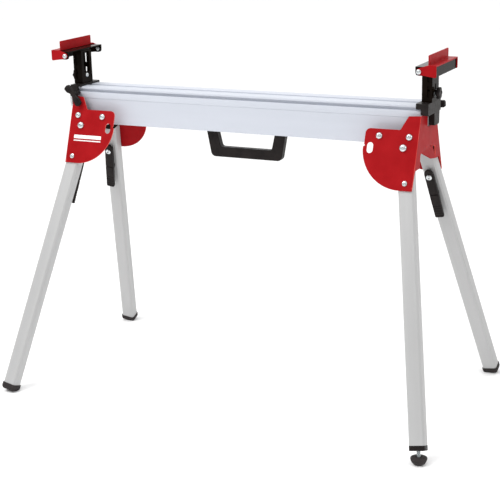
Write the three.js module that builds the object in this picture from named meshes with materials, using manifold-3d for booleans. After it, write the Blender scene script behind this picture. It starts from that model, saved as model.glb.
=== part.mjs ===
// A folding aluminium stand for a mitre saw: a long beam on four splayed legs, with a carry handle
// below and a telescoping work support with a flip-up stop at each end.
// Millimetres, +X along the beam, +Y to the rear, +Z up. The origin is on the floor under the middle.
import * as THREE from "three";
import { mergeVertices } from "three/addons/utils/BufferGeometryUtils.js";
import Module from "manifold-3d";

const wasm = await Module();
wasm.setup();

// ---- driving dimensions ------------------------------------------------------------------------
const GAP = 0.3; // between pieces that touch
const SHEET = 3; // steel sheet of the leg brackets and saddles

const BEAM = {
  half: 505, // half of its length
  faceY: 42.6, // half depth across the side faces
  bandY: 44, // half depth across the rails
  wall: 3.1,
  web: 2.5, // between the hollows
  bottom: 724,
  bandZ: 795, // where the rail band begins
  grooveLow: 812, // side groove for the saw brackets
  grooveHigh: 820,
  grooveDeep: 8,
  top: 826,
  middleGroove: { half: 9, deep: 10 },
  seat: { x: 489, deep: 0.5 }, // the rails are faced down a little under the carriages
};
const LANE = { inner: 1.25, outer: 39.5, low: 768.5, high: 809.5 }; // where a support arm slides

const PIVOT = { x: 472, y: 87, z: 725 }; // a leg's pivot on the outer face of its bracket
const LEAN = THREE.MathUtils.degToRad(20); // fore and aft lean of the legs and bracket sides
const SPLAY = THREE.MathUtils.degToRad(9.85); // outward splay of an open leg
const LEG = { halfX: 20, halfY: 16, corner: 4, wall: 2, above: 13, depth: SHEET + 0.5 + 16 };
const PIVOT_R = 5;
const RUNNING = 0.3; // radial clearance of the turning and sliding pins
const LOCK = { reach: 89, pinR: 4 }; // the lock pin's distance from the pivot, along the leg
const SADDLE = { x0: 440, x1: 500, below: 26, rise: 11.5 };
const BRACKET = {
  endFace: 508.3, // outer face of the end plate
  innerX: 366, // inboard edge of the sides
  radius: 106, // the curved lower edge, round the pivot
  drop: { front: 106, rear: 98 }, // how far the sides reach below the pivot at the end plate
  earTop: 82,
  edgeTop: 45,
  rearTop: 766,
  stepAt: { right: -8, left: -46 }, // where the end plate steps down beside the support arm
};
const PLATE_BOLTS = [
  { name: "inner", x: -66, s: 27 },
  { name: "outer", x: 12.5, s: 28 },
];
const BOLT_R = 4;
const BUSH_R = 5.4;
const SPACER = { r: 6, long: 44 }; // round a plate bolt, from the bracket to the beam
const CHEEK = LEG.depth + LEG.halfY + 0.5; // inner side of a leg, where the saddle's cheek begins
// Radius and height of the domed heads.
const CAPS = { plate: [8.5, 6], pivot: [9.5, 6.5], bush: [7, 3], small: [6.5, 4.5] };

const HANDLE = { topHalf: 118, bottomHalf: 104, bottom: 648, gripTop: 676, depth: 20, thick: 31 };
const PAD = { past: 6, high: 5 }; // the handle's screw pads, past its ends and sides
const FOOT = { over: 1.5, corner: 5, dome: 10, inset: 8, clear: 3.5, high: 19, tubeUp: 16 };
const LEVEL = { r: 21, high: 20.5, studR: 5, tubeUp: 47, plug: 12.5 };

const ARM = { length: 950, wall: 2.5, clear: 0.35 };
const CARRIAGE = { x0: 491, x1: 523.5, halfY: 50, low: 801, high: 831, lip: 4.5 };
const HOOK = { x: 503.5, z: 816.5, rearX: 499.5 }; // how far the lips are cut back
const MAST = { x0: 498, x1: 525, halfY: 26, top: 922, wall: 2.5 };
const WINDOW = { half: 14, low: 862, high: 918, neckHalf: 8 }; // in the mast's inboard face
const SIDE_SLOT = { x: 515, half: 3.2, spans: [[843, 873], [881, 915]] };
const POST = { clear: 0.5, low: 840, wall: 2.5 };
const CLAMP = { z: 852, travel: 19 };
const KNOB = { x0: 528, x1: 539, r: 15.5, lobes: 6, lobeDepth: 1.5, collarR: 9 };
const HEAD = { x0: 500, x1: 551, halfY: 85, top: 928, sheet: 3, outerDrop: 25 };
const HINGE = { x: 510, z: 916, r: 3.5 };
const STOP = { uprightX: 530, x1: 554, halfY: 77, top: 955, clear: 0.5, hang: 26 };
const LOCK_BAR = {
  x: 497,
  z: 809.5,
  hubR: 6,
  y: [73.5, 83], // clear of the bracket's leaning side
  long: 36,
  short: 30,
  spread: THREE.MathUtils.degToRad(197), // from the short paddle round to the long one
  tilt: { right: THREE.MathUtils.degToRad(5), left: THREE.MathUtils.degToRad(43) },
};

const ROUND = 10; // sides of a bolt or pin

// ---- materials ---------------------------------------------------------------------------------
const finish = (color, roughness, metalness) =>
  new THREE.MeshStandardMaterial({ color, roughness, metalness });
const ALUMINIUM = finish(0xdde3ee, 0.35, 0.9);
const LEG_ALUMINIUM = finish(0xc2c5c6, 0.4, 0.9);
const RED = finish(0xb8202a, 0.35, 0);
const BLACK_PAINT = finish(0x24211f, 0.4, 0);
const BLACK_PLASTIC = finish(0x2e2b29, 0.6, 0);
const ZINC = finish(0xd2d7d7, 0.3, 1);

// ---- solids ------------------------------------------------------------------------------------
function solid(geometry) {
  const bare = geometry.clone();
  bare.deleteAttribute("normal");
  bare.deleteAttribute("uv");
  const merged = mergeVertices(bare, 1e-4);
  return new wasm.Manifold(
    new wasm.Mesh({
      numProp: 3,
      vertProperties: merged.attributes.position.array,
      triVerts: new Uint32Array(merged.index.array),
    }),
  );
}

function geometryOf(piece) {
  const made = piece.getMesh();
  const geometry = new THREE.BufferGeometry();
  geometry.setAttribute("position", new THREE.BufferAttribute(made.vertProperties, 3));
  geometry.setIndex(new THREE.BufferAttribute(made.triVerts, 1));
  return geometry;
}

function ordered(a, b) {
  return [Math.min(a, b), Math.max(a, b)];
}

function join(...pieces) {
  return pieces.reduce((whole, piece) => whole.add(piece));
}

function cut(piece, ...tools) {
  return tools.reduce((left, tool) => left.subtract(tool), piece);
}

function moved(piece, matrix) {
  return piece.transform(matrix.elements);
}

function block([x0, x1], [y0, y1], [z0, z1]) {
  const geometry = new THREE.BoxGeometry(x1 - x0, y1 - y0, z1 - z0);
  geometry.translate((x0 + x1) / 2, (y0 + y1) / 2, (z0 + z1) / 2);
  return solid(geometry);
}

function rod(radius, from, to, sides = ROUND) {
  const start = new THREE.Vector3(...from);
  const end = new THREE.Vector3(...to);
  const along = end.clone().sub(start);
  const geometry = new THREE.CylinderGeometry(radius, radius, along.length(), sides);
  const turn = new THREE.Quaternion();
  turn.setFromUnitVectors(new THREE.Vector3(0, 1, 0), along.normalize());
  geometry.applyQuaternion(turn);
  const middle = start.add(end).multiplyScalar(0.5);
  geometry.translate(middle.x, middle.y, middle.z);
  return solid(geometry);
}

// A turned piece on the +Y axis from a list of [radius, distance] steps, moved to start at a point.
function turned(profile, from, direction, sides = ROUND) {
  const points = profile.map(([r, along]) => new THREE.Vector2(r, along));
  const geometry = new THREE.LatheGeometry(points, sides);
  const turn = new THREE.Quaternion();
  const axis = new THREE.Vector3(...direction).normalize();
  turn.setFromUnitVectors(new THREE.Vector3(0, 1, 0), axis);
  geometry.applyQuaternion(turn);
  geometry.translate(...from);
  return solid(geometry);
}

// A closed outline from corners [x, y, cut], where cut is how far the rounding reaches along each side.
function outline(corners) {
  const shape = new THREE.Shape();
  const points = corners.map(([x, y]) => new THREE.Vector2(x, y));
  corners.forEach(([x, y, round = 0], i) => {
    const corner = points[i];
    const before = points.at(i - 1).clone().sub(corner).setLength(round);
    const after = points[(i + 1) % points.length].clone().sub(corner).setLength(round);
    const start = corner.clone().add(before);
    const end = corner.clone().add(after);
    if (i === 0) shape.moveTo(start.x, start.y);
    else shape.lineTo(start.x, start.y);
    if (round) shape.quadraticCurveTo(x, y, end.x, end.y);
  });
  shape.closePath();
  return shape;
}

function roundedBox(halfX, halfY, corner) {
  return outline([
    [-halfX, -halfY, corner],
    [halfX, -halfY, corner],
    [halfX, halfY, corner],
    [-halfX, halfY, corner],
  ]);
}

// The outline of a leg tube, grown all round by a margin.
function legSection(margin, corner = LEG.corner) {
  return roundedBox(LEG.halfX + margin, LEG.halfY + margin, corner);
}

function extrude(shape, depth, options = {}) {
  const settings = { depth, bevelEnabled: false, curveSegments: 2, ...options };
  return new THREE.ExtrudeGeometry(shape, settings);
}

// An outline in Y and Z, extruded from x0 to x1.
function alongX(shape, x0, x1, options) {
  const geometry = extrude(shape, x1 - x0, options);
  const turn = new THREE.Matrix4();
  const x = new THREE.Vector3(0, 1, 0);
  const y = new THREE.Vector3(0, 0, 1);
  const z = new THREE.Vector3(1, 0, 0);
  geometry.applyMatrix4(turn.makeBasis(x, y, z));
  geometry.translate(x0, 0, 0);
  return solid(geometry);
}

// An outline in X and Z, extruded from y0 to y1.
function alongY(shape, y0, y1, options) {
  const geometry = extrude(shape, y1 - y0, options);
  geometry.rotateX(Math.PI / 2);
  geometry.translate(0, y1, 0);
  return solid(geometry);
}

// An outline in X and Y, extruded from z0 to z1.
function alongZ(shape, z0, z1, options) {
  const geometry = extrude(shape, z1 - z0, options);
  geometry.translate(0, 0, z0);
  return solid(geometry);
}

// The profile of a domed head on its flat underside.
const DOME = (radius, high) => [
  [0, 0],
  [radius, 0],
  [radius, high * 0.35],
  [radius * 0.62, high],
  [0, high],
];

// ---- frames ------------------------------------------------------------------------------------
// The leaning frame of a bracket's side: its origin is the leg pivot on the outer face, X runs
// outboard, Y runs square into the bracket and Z runs up the side. The front right corner is the
// pattern, and the other corners mirror it.
function leaning(endSign, sideSign) {
  const mirror = new THREE.Matrix4().makeScale(endSign, -sideSign, 1);
  const place = new THREE.Matrix4().makeTranslation(PIVOT.x, -PIVOT.y, PIVOT.z);
  const lean = new THREE.Matrix4().makeRotationX(-LEAN);
  return mirror.multiply(place).multiply(lean);
}

function legFrame(endSign, sideSign) {
  const inset = new THREE.Matrix4().makeTranslation(0, LEG.depth, 0);
  const splay = new THREE.Matrix4().makeRotationY(-SPLAY);
  return leaning(endSign, sideSign).multiply(inset).multiply(splay);
}

function groupAt(matrix) {
  const group = new THREE.Group();
  group.applyMatrix4(matrix);
  return group;
}

const stand = new THREE.Group();
stand.name = "mitre_saw_stand";

function add(parent, name, piece, material) {
  const mesh = new THREE.Mesh(geometryOf(piece), material);
  mesh.name = name;
  parent.add(mesh);
  return mesh;
}

const ENDS = [
  { name: "right", sign: 1 },
  { name: "left", sign: -1 },
];
const SIDES = [
  { name: "front", sign: -1 },
  { name: "rear", sign: 1 },
];

// ---- beam --------------------------------------------------------------------------------------
function beam() {
  const { faceY, bandY, bottom, bandZ, grooveLow, grooveHigh, grooveDeep, top, half } = BEAM;
  const groove = BEAM.middleGroove;
  const rightHalf = [
    [faceY, bottom, 2],
    [faceY, bandZ],
    [bandY, bandZ],
    [bandY, grooveLow],
    [bandY - grooveDeep, grooveLow],
    [bandY - grooveDeep, grooveHigh],
    [bandY, grooveHigh],
    [bandY, top, 1],
    [groove.half, top, 1],
    [groove.half, top - groove.deep],
  ];
  const leftHalf = rightHalf.map(([y, z, round]) => [-y, z, round]).reverse();
  const section = outline([...rightHalf, ...leftHalf]);
  const { web } = BEAM;
  const through = [-half - 1, half + 1];
  const lowerHollow = block(through, [-LANE.outer, LANE.outer], [bottom + BEAM.wall, LANE.low - web]);
  let body = cut(alongX(section, -half, half), lowerHollow);
  for (const side of [-1, 1]) {
    const lane = ordered(LANE.inner * side, LANE.outer * side);
    const rail = ordered((groove.half + web) * side, (bandY - grooveDeep - web) * side);
    body = cut(
      body,
      block(through, lane, [LANE.low, LANE.high]),
      block(through, rail, [LANE.high + web, top - web]),
    );
    const seat = ordered(BEAM.seat.x * side, (half + 1) * side);
    body = cut(body, block(seat, [-bandY - 1, bandY + 1], [top - BEAM.seat.deep, top + 1]));
  }
  for (const end of ENDS) {
    for (const side of SIDES) {
      for (const { x, s } of PLATE_BOLTS) {
        const hole = rod(BOLT_R + RUNNING, [x, 30, s], [x, 50, s]);
        body = cut(body, moved(hole, leaning(end.sign, side.sign)));
      }
    }
  }
  return body;
}

add(stand, "beam", beam(), ALUMINIUM);

// ---- leg brackets ------------------------------------------------------------------------------
// One side of a bracket in its leaning frame, with the holes for the bolts, the lock and storage slot.
function bracketSide(earTop, drop) {
  const endX = BRACKET.endFace - PIVOT.x;
  const inner = BRACKET.innerX - PIVOT.x;
  const curve = [];
  const steps = 8;
  for (let i = 0; i <= steps; i++) {
    const angle = Math.PI * (1 + (0.5 * i) / steps);
    curve.push([BRACKET.radius * Math.cos(angle), BRACKET.radius * Math.sin(angle)]);
  }
  const ear =
    earTop > BRACKET.edgeTop
      ? [
          [endX, earTop],
          [4.5, earTop - 2, 3],
          [-13, BRACKET.edgeTop, 3],
        ]
      : [[endX, earTop]];
  const notch = [
    [inner + 2.5, 4],
    [inner + 5.5, 1],
    [inner + 0.5, -2],
  ];
  const edge = [[inner + 2.5, Math.min(earTop, BRACKET.edgeTop), 13], ...notch];
  const side = outline([...ear, ...edge, ...curve.slice(1), [endX, -drop]]);
  const slot = outline([
    [-96, -18, 7.5],
    [-79, -18, 7.5],
    [-79, 10, 7.5],
    [-96, 10, 7.5],
  ]);
  const across = [-10, 10];
  const hole = (radius, x, s) => rod(radius, [x, across[0], s], [x, across[1], s]);
  const bush = lockPoint();
  return cut(
    alongY(side, 0, SHEET),
    alongY(slot, ...across),
    hole(PIVOT_R + RUNNING, 0, 0),
    hole(BUSH_R + 0.4, bush.x, bush.s),
    ...PLATE_BOLTS.map(({ x, s }) => hole(BOLT_R + RUNNING, x, s)),
  );
}

function lockPoint() {
  return { x: LOCK.reach * Math.sin(SPLAY), s: -LOCK.reach * Math.cos(SPLAY) };
}

// How far out the bracket's side is at a height.
function sideY(z) {
  return PIVOT.y + (PIVOT.z - z) * Math.tan(LEAN);
}

// The end plate is open below as an arch for the legs, and cut low where the support arm comes out.
function endPlate(armSign) {
  const earZ = PIVOT.z + BRACKET.earTop * Math.cos(LEAN);
  const low = BRACKET.rearTop;
  const step = armSign > 0 ? BRACKET.stepAt.right : BRACKET.stepAt.left;
  const leg = (sign) => {
    const drop = sign < 0 ? BRACKET.drop.front : BRACKET.drop.rear;
    const bottom = PIVOT.z - drop * Math.cos(LEAN);
    return [
      [sign * sideY(bottom), bottom],
      [sign * (sideY(bottom) - 4.2), bottom + 9],
      [sign * 100, 672],
      [sign * 64, 672, 3],
      [sign * 60, 708, 8],
    ];
  };
  const face = outline([
    [-sideY(earZ), earZ],
    ...leg(-1),
    ...leg(1).reverse(),
    [sideY(low), low],
    [step, low, 2],
    [step, earZ - 3, 3],
  ]);
  const x0 = BRACKET.endFace - SHEET;
  const x1 = BRACKET.endFace;
  const dimple = rod(2, [x0 - 1, -10, 716], [x1 + 1, -10, 716], 8);
  const oval = outline([
    [18, 708.5, 3],
    [30, 708.5, 3],
    [30, 714.5, 3],
    [18, 714.5, 3],
  ]);
  return cut(alongX(face, x0, x1), dimple, alongX(oval, x0 - 1, x1 + 1));
}

// The triangular tab that is bent out from the top of the arch.
function archTab() {
  const tab = outline([
    [-58, 2],
    [2, -26, 4],
    [38, -32, 6],
    [36, 2],
  ]);
  const bend = new THREE.Matrix4().makeRotationY(THREE.MathUtils.degToRad(-18));
  bend.setPosition(BRACKET.endFace - SHEET, 0, 708);
  return moved(alongX(tab, 0, SHEET), bend);
}

function bracket(armSign) {
  const rearEar = (BRACKET.rearTop - PIVOT.z) / Math.cos(LEAN);
  const front = moved(bracketSide(BRACKET.earTop, BRACKET.drop.front), leaning(1, -1));
  const rear = moved(bracketSide(rearEar, BRACKET.drop.rear), leaning(1, 1));
  return join(endPlate(armSign), front, rear, archTab());
}

// The saddle bolts up under the beam, and its cheeks carry the inner ends of the leg pivots.
function saddle() {
  const { x0, x1, below, rise } = SADDLE;
  const top = BEAM.bottom - GAP;
  let body = block([x0, x1], [-49, 49], [top - SHEET, top]);
  for (const side of SIDES) {
    const cheek = outline([
      [x0 - PIVOT.x, rise],
      [x0 - PIVOT.x, -below * 0.4],
      [-14, -below, 8],
      [14, -below, 8],
      [x1 - PIVOT.x, -below * 0.4],
      [x1 - PIVOT.x, rise],
    ]);
    body = join(body, moved(alongY(cheek, CHEEK, CHEEK + SHEET), leaning(1, side.sign)));
  }
  for (const side of SIDES) {
    const hole = rod(PIVOT_R + RUNNING, [0, CHEEK - 5, 0], [0, CHEEK + 9, 0]);
    body = cut(body, moved(hole, leaning(1, side.sign)));
  }
  return body;
}

for (const end of ENDS) {
  const mirrored = new THREE.Group();
  mirrored.scale.x = end.sign;
  stand.add(mirrored);
  add(mirrored, `bracket_${end.name}`, bracket(end.sign), RED);
  add(mirrored, `saddle_${end.name}`, saddle(), BLACK_PAINT);
}

// ---- bolts of the brackets ---------------------------------------------------------------------
function domedHead(cap) {
  return turned(DOME(...cap), [0, -GAP, 0], [0, -1, 0]);
}

// A bracket bolt with its spacer, which ends just short of the beam's side face.
function plateBolt(s) {
  const shank = rod(BOLT_R, [0, -GAP - 1, 0], [0, SPACER.long + 1, 0]);
  const spacer = rod(SPACER.r, [0, SHEET + GAP, 0], [0, SPACER.long, 0]);
  const faceY = BEAM.faceY + GAP;
  const atBolt = new THREE.Matrix4().makeTranslation(0, 0, s);
  const toBolt = leaning(1, -1).multiply(atBolt).invert();
  const beamSide = moved(block([300, 700], [-faceY, faceY], [600, 900]), toBolt);
  return join(domedHead(CAPS.plate), shank, cut(spacer, beamSide));
}

function pivotBolt() {
  const inside = CHEEK + SHEET;
  const shank = rod(PIVOT_R, [0, -GAP - 1, 0], [0, inside + 7, 0]);
  const nut = rod(8.5, [0, inside + GAP, 0], [0, inside + 6.5, 0], 6);
  return join(domedHead(CAPS.pivot), shank, nut);
}

// The bush that lines the lock hole, seen as a small round end outside.
function lockBush() {
  return join(domedHead(CAPS.bush), rod(BUSH_R, [0, -GAP - 1, 0], [0, SHEET - 0.1, 0]));
}

// ---- legs --------------------------------------------------------------------------------------
// A leg's own frame has its origin at the pivot in the middle of the tube, X across it, Y towards
// the inside of the stand and Z up the leg.
const openLeg = legFrame(1, -1);
const pivotHeight = new THREE.Vector3().setFromMatrixPosition(openLeg).z;
const steepness = new THREE.Vector3().setFromMatrixColumn(openLeg, 2).z;
const LEG_REACH = pivotHeight / steepness; // from the pivot to the floor along the leg

function legTube(end) {
  const section = legSection(0);
  section.holes.push(legSection(-LEG.wall, LEG.corner - LEG.wall));
  const tube = alongZ(section, -end, LEG.above);
  const pivotHole = rod(PIVOT_R + RUNNING, [0, -30, 0], [0, 30, 0]);
  const pinHole = rod(LOCK.pinR + RUNNING, [0, -30, -LOCK.reach], [0, 30, -LOCK.reach]);
  return cut(tube, pivotHole, pinHole);
}

function floorInLegFrame() {
  const floor = block([300, 900], [-600, 0], [-100, 0]);
  return moved(floor, openLeg.clone().invert());
}

function footCap() {
  const { over, corner, dome, inset, clear, high } = FOOT;
  const bottom = -LEG_REACH + clear;
  const shape = legSection(over - inset, corner / 2);
  const bevel = {
    bevelEnabled: true,
    bevelSize: inset,
    bevelThickness: dome,
    bevelSegments: 3,
  };
  const blank = alongZ(shape, bottom + dome, bottom + high + dome, bevel);
  const spare = block([-40, 40], [-40, 40], [bottom + high, bottom + high + 60]);
  const socket = alongZ(legSection(GAP), footTubeEnd() - GAP, 0);
  return cut(blank, spare, socket, floorInLegFrame());
}

function footTubeEnd() {
  return -LEG_REACH + FOOT.tubeUp;
}

const LEVER = { half: 12.5, axisY: 24, axisZ: -150, boss: 7.6 };

// The lever that draws the lock pin: it rocks on a round boss against the inside of the leg.
function lockLever() {
  const side = outline([
    [22, -78, 2],
    [22.5, -135],
    [27, -168],
    [31, -217, 2],
    [40.2, -217, 4],
    [38.5, -195],
    [35, -150],
    [31, -100],
    [30, -78, 5],
  ]);
  const { half, axisY, axisZ, boss } = LEVER;
  const rocker = rod(boss, [-half + 3, axisY, axisZ], [half - 3, axisY, axisZ]);
  const lever = join(alongX(side, -half, half), rocker);
  const corners = [-1, 1].map((sign) => {
    const wedge = outline([
      [sign * half, -62],
      [sign * half, -92],
      [sign * (half - 7), -77],
      [sign * (half - 9), -62],
    ]);
    return alongY(wedge, 10, 60);
  });
  return cut(lever, ...corners);
}

function lockPin() {
  const half = LEG.halfY;
  const pin = rod(LOCK.pinR, [0, -half - 0.2, 0], [0, half + 3, 0]);
  const seat = rod(7, [0, half + 2.5, 0], [0, half + 5.5, 0]);
  const place = new THREE.Matrix4().makeTranslation(0, 0, -LOCK.reach);
  return moved(join(pin, seat), place);
}

// The black plug that closes the front right leg above its levelling foot.
function levelPlug() {
  const end = -LEG_REACH + LEVEL.tubeUp;
  const seat = end - GAP;
  const head = alongZ(legSection(0), seat - LEVEL.plug, seat);
  const spigot = alongZ(legSection(-LEG.wall - GAP, 2), seat - 1, end + 14);
  const studHole = rod(LEVEL.studR + GAP, [0, 0, seat - 20], [0, 0, end + 20]);
  return cut(join(head, spigot), studHole);
}

const STUD = { low: -LEG_REACH + 15, high: -LEG_REACH + LEVEL.tubeUp + 22 };

function levelStud() {
  return rod(LEVEL.studR, [0, 0, STUD.low], [0, 0, STUD.high]);
}

// The foot stands level, so it is made upright and cut for the leaning stud.
function levelFoot() {
  const { r, high, studR } = LEVEL;
  const meet = new THREE.Vector3(0, 0, STUD.low).applyMatrix4(openLeg);
  const profile = [
    [0, 0],
    [r * 0.45, 0],
    [r * 0.68, 2.5],
    [r * 0.87, 7],
    [r * 0.97, 12],
    [r, 15.5],
    [r * 0.97, 16.8],
    [r * 0.55, 18.4],
    [r * 0.45, high],
    [0, high],
  ];
  const foot = turned(profile, [meet.x, meet.y, 0], [0, 0, 1], 16);
  const socket = rod(studR + GAP, [0, 0, STUD.low - GAP], [0, 0, STUD.high]);
  return cut(foot, moved(socket, openLeg));
}

for (const end of ENDS) {
  for (const side of SIDES) {
    const corner = `${side.name}_${end.name}`;
    const panel = groupAt(leaning(end.sign, side.sign));
    stand.add(panel);
    for (const { name, x, s } of PLATE_BOLTS) {
      const bolt = add(panel, `plate_bolt_${name}_${corner}`, plateBolt(s), ZINC);
      bolt.position.set(x, 0, s);
    }
    add(panel, `pivot_bolt_${corner}`, pivotBolt(), ZINC);
    const bush = add(panel, `lock_bush_${corner}`, lockBush(), ZINC);
    bush.position.set(lockPoint().x, 0, lockPoint().s);

    const leg = groupAt(legFrame(end.sign, side.sign));
    stand.add(leg);
    const levels = end.sign > 0 && side.sign < 0;
    const tubeEnd = levels ? LEG_REACH - LEVEL.tubeUp : -footTubeEnd();
    add(leg, `leg_tube_${corner}`, legTube(tubeEnd), LEG_ALUMINIUM);
    add(leg, `lock_lever_${corner}`, lockLever(), BLACK_PLASTIC);
    add(leg, `lock_pin_${corner}`, lockPin(), ZINC);
    if (levels) {
      add(leg, `foot_collar_${corner}`, levelPlug(), BLACK_PLASTIC);
      add(leg, "level_stud", levelStud(), ZINC);
      add(stand, "level_foot", levelFoot(), BLACK_PLASTIC);
    } else {
      add(leg, `foot_cap_${corner}`, footCap(), BLACK_PLASTIC);
    }
  }
}

// ---- carry handle ------------------------------------------------------------------------------
function carryHandle() {
  const top = BEAM.bottom - GAP;
  const { topHalf, bottomHalf, bottom, gripTop, depth, thick } = HANDLE;
  const loop = outline([
    [-topHalf, top],
    [-bottomHalf, bottom, 16],
    [bottomHalf, bottom, 16],
    [topHalf, top],
    [topHalf - thick, top],
    [bottomHalf - thick + 3, gripTop, 8],
    [thick - 3 - bottomHalf, gripTop, 8],
    [thick - topHalf, top],
  ]);
  const pads = [-1, 1].map((sign) => {
    const ends = ordered(sign * (topHalf + PAD.past), sign * (topHalf - thick - PAD.past));
    const padHalf = depth / 2 + 5;
    return block(ends, [-padHalf, padHalf], [top - PAD.high, top]);
  });
  return join(alongY(loop, -depth / 2, depth / 2), ...pads);
}

add(stand, "carry_handle", carryHandle(), BLACK_PLASTIC);

// ---- work supports -----------------------------------------------------------------------------
// Each support is described at the right end, where its arm slides in the rear lane of the beam.
// The left one is the same, turned half a turn about the vertical.
function arm() {
  const { clear } = ARM;
  const y = [LANE.inner + clear, LANE.outer - clear];
  const z = [LANE.low + clear, LANE.high - clear];
  const x = [BRACKET.endFace - ARM.length, BRACKET.endFace];
  const w = ARM.wall;
  const hollow = block([x[0] - 1, x[1] + 1], [y[0] + w, y[1] - w], [z[0] + w, z[1] - w]);
  return cut(block(x, y, z), hollow);
}

function carriage() {
  const { x0, x1, halfY, low, high, lip } = CARRIAGE;
  const plateX = BRACKET.endFace + GAP;
  const inside = halfY - lip;
  const deck = block([x0, x1], [-halfY, halfY], [BEAM.top + GAP, high]);
  const plate = alongX(
    outline([
      [-halfY, low, 3],
      [0, low],
      [1, LANE.low, 4],
      [LANE.outer, LANE.low, 4],
      [LANE.outer + 2, low],
      [halfY, low, 3],
      [halfY, high],
      [-halfY, high],
    ]),
    plateX,
    x1,
  );
  const lips = [-1, 1].map((sign) => {
    return block([x0, plateX + 1], ordered(sign * halfY, sign * inside), [low + 2, high]);
  });
  const frontStep = block([x0 - 1, HOOK.x], [-halfY - 1, -inside + 1], [low, HOOK.z]);
  const rearStep = block([x0 - 1, HOOK.rearX], [inside - 1, halfY + 1], [low, BEAM.top + 1]);
  return cut(join(deck, plate, ...lips), frontStep, rearStep);
}

function slotOutline(x, z0, z1, half) {
  const round = half * 0.9;
  return outline([
    [x - half, z0, round],
    [x + half, z0, round],
    [x + half, z1, round],
    [x - half, z1, round],
  ]);
}

// The mast: a slot for the clamp bolt outboard, a window inboard that runs down round the bolt's
// head, and two narrow slots in the front and rear faces.
function mast() {
  const { x0, x1, halfY, top, wall } = MAST;
  const low = CARRIAGE.high + GAP;
  const tube = cut(
    block([x0, x1], [-halfY, halfY], [low, top]),
    block([x0 + wall, x1 - wall], [wall - halfY, halfY - wall], [low - 1, top + 1]),
  );
  const boltHalf = BOLT_R + 0.5;
  const outboard = slotOutline(0, CLAMP.z - boltHalf, CLAMP.z + CLAMP.travel + boltHalf, boltHalf);
  const neck = WINDOW.neckHalf;
  const inboard = slotOutline(0, CLAMP.z - neck, WINDOW.low + neck, neck);
  const faces = SIDE_SLOT.spans.map(([z0, z1]) => {
    return alongY(slotOutline(SIDE_SLOT.x, z0, z1, SIDE_SLOT.half), -halfY - 1, halfY + 1);
  });
  return cut(
    tube,
    alongX(outboard, x1 - wall - 1, x1 + 1),
    alongX(inboard, x0 - 1, x0 + wall + 1),
    block([x0 - 1, x0 + wall + 1], [-WINDOW.half, WINDOW.half], [WINDOW.low, WINDOW.high]),
    ...faces,
  );
}

// The post slides inside the mast and carries the head, which is welded on top of it. It has a
// window of its own behind the mast's, slots in its rear face and one hole in its front face.
function headPost(frontSign) {
  const inset = MAST.wall + POST.clear;
  const x = [MAST.x0 + inset, MAST.x1 - inset];
  const halfY = MAST.halfY - inset;
  const { x0, x1, top, sheet, outerDrop } = HEAD;
  const w = POST.wall;
  const frontWall = ordered(frontSign * (halfY + 1), frontSign * (halfY - w - 1));
  const rearWall = ordered(-frontSign * (halfY + 1), -frontSign * (halfY - w - 1));
  const drainZ = CLAMP.z + 8.5;
  const rearSlots = SIDE_SLOT.spans.map(([z0, z1]) => {
    return alongY(slotOutline(SIDE_SLOT.x, z0 + 4, z1, SIDE_SLOT.half), ...rearWall);
  });
  const post = cut(
    block(x, [-halfY, halfY], [POST.low, top - 1]),
    block([x[0] + w, x[1] - w], [w - halfY, halfY - w], [POST.low - 1, top - sheet]),
    rod(BOLT_R + RUNNING, [x[0] - 1, 0, CLAMP.z], [x[1] + 1, 0, CLAMP.z]),
    block([x[0] - 1, x[0] + w + 1], [-WINDOW.half, WINDOW.half], [WINDOW.low, WINDOW.high]),
    rod(3, [SIDE_SLOT.x, frontWall[0], drainZ], [SIDE_SLOT.x, frontWall[1], drainZ]),
    ...rearSlots,
  );
  const deck = block([x0, x1], [-HEAD.halfY, HEAD.halfY], [top - sheet, top]);
  const outer = block([x1 - sheet, x1], [-HEAD.halfY, HEAD.halfY], [top - outerDrop, top]);
  const cheek = outline([
    [x0, top],
    [x0, HINGE.z - 10, 8],
    [x0 + 22, HINGE.z - 10],
    [x1, top - outerDrop],
    [x1, top],
  ]);
  const cheeks = [
    alongY(cheek, -HEAD.halfY, sheet - HEAD.halfY),
    alongY(cheek, HEAD.halfY - sheet, HEAD.halfY),
  ];
  const hinge = rod(HINGE.r + RUNNING, [HINGE.x, -100, HINGE.z], [HINGE.x, 100, HINGE.z]);
  return join(post, cut(join(deck, outer, ...cheeks), hinge));
}

function stop() {
  const { uprightX, x1, halfY, top } = STOP;
  const sheet = HEAD.sheet;
  const low = HEAD.top + STOP.clear;
  const earY = HEAD.halfY + STOP.clear;
  const reach = 6.5; // round the hinge, hidden by the bolt's head
  const ear = outline([
    [HINGE.x - reach, HINGE.z - reach, 5],
    [x1, HEAD.top - STOP.hang, 4],
    [x1, low + sheet],
    [uprightX, low + sheet],
    [HINGE.x - reach, HINGE.z + reach, 5],
  ]);
  const ears = [alongY(ear, -earY - sheet, -earY), alongY(ear, earY, earY + sheet)];
  const flange = block([uprightX, x1], [-earY - sheet, earY + sheet], [low, low + sheet]);
  const upright = outline([
    [-halfY, low],
    [halfY, low],
    [halfY, top, 3],
    [-halfY, top, 3],
  ]);
  const hole = rod(HINGE.r + RUNNING, [HINGE.x, -100, HINGE.z], [HINGE.x, 100, HINGE.z]);
  return cut(join(flange, alongX(upright, uprightX, uprightX + sheet), ...ears), hole);
}

// A hinge bolt goes in from outside a stop ear and ends inside the head's cheek.
function hingeBolt() {
  const earFace = HEAD.halfY + STOP.clear + HEAD.sheet;
  const cap = turned(DOME(...CAPS.small), [0, -earFace - GAP, 0], [0, -1, 0]);
  const shank = rod(HINGE.r, [0, -earFace - GAP - 1, 0], [0, 6 - HEAD.halfY, 0]);
  const nut = rod(6, [0, -HEAD.halfY + HEAD.sheet + GAP, 0], [0, 7 - HEAD.halfY, 0], 6);
  return join(cap, shank, nut);
}

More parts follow.
